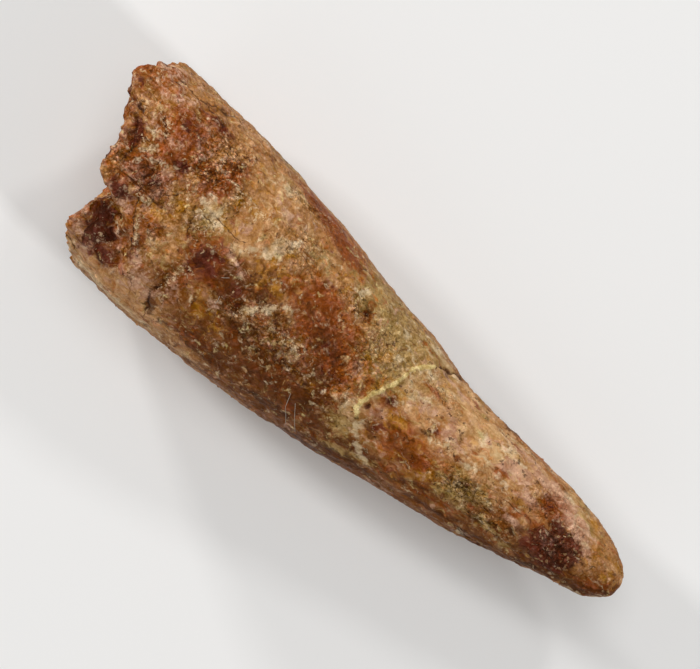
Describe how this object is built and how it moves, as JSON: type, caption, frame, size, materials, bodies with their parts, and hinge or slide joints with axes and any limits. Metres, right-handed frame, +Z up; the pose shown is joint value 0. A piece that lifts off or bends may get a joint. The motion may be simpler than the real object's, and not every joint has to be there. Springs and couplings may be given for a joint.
{
  "type": "fossil spinosaurus tooth",
  "caption": "Slightly recurved conical fossil tooth, broken across at the base, with a worn blunt tip and a filled break, lying on its side.",
  "frame": {"origin": "on the resting surface, under the middle of the tooth's bounding box", "axes": "+X along the tooth from the broken base to the tip, +Z up from the resting surface, +Y towards the slightly concave side edge"},
  "size_m": [0.084, 0.027, 0.024],
  "materials": {
    "fossil_dentine": "Mineralised dentine with sandy matrix stuck to it: mottled tan, ochre and red-brown, dark maroon stains, pale cream filler, waxy in smooth places and gritty elsewhere."
  },
  "bodies": {
    "root": {"tooth": "fossil_dentine"}
  },
  "joints": []
}
